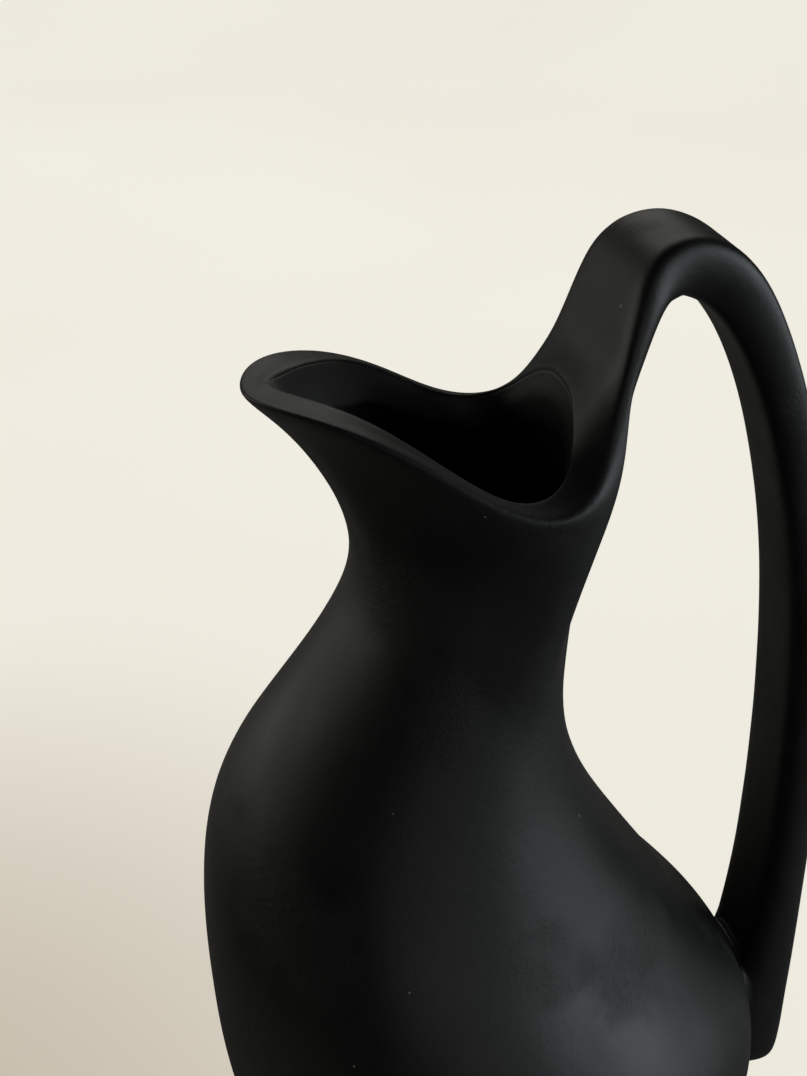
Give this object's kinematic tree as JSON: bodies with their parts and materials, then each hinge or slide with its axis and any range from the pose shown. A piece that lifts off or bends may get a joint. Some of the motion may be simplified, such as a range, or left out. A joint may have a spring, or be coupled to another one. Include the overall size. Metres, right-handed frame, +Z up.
{
  "type": "swan neck vase",
  "caption": "Dark matte ceramic vase with a leaning round belly, slender neck, spouted mouth and a tall looped strap handle growing from the lip.",
  "frame": {"origin": "centre of the flat foot, on the surface the vase stands on", "axes": "+Z up, the spout along -X and the handle along +X, symmetrical about the XZ plane"},
  "size_m": [0.1797, 0.1648, 0.3278],
  "materials": {
    "clay": "burnished matte",
    "slip": "smoothed satin",
    "glaze": "satin glaze"
  },
  "bodies": {
    "root": {"base_slab": "clay", "lower_belly": "clay", "upper_belly": "clay", "neck": "clay", "mouth": "clay", "handle": "clay", "handle_lute": "slip", "throat_glaze": "glaze"}
  },
  "joints": []
}
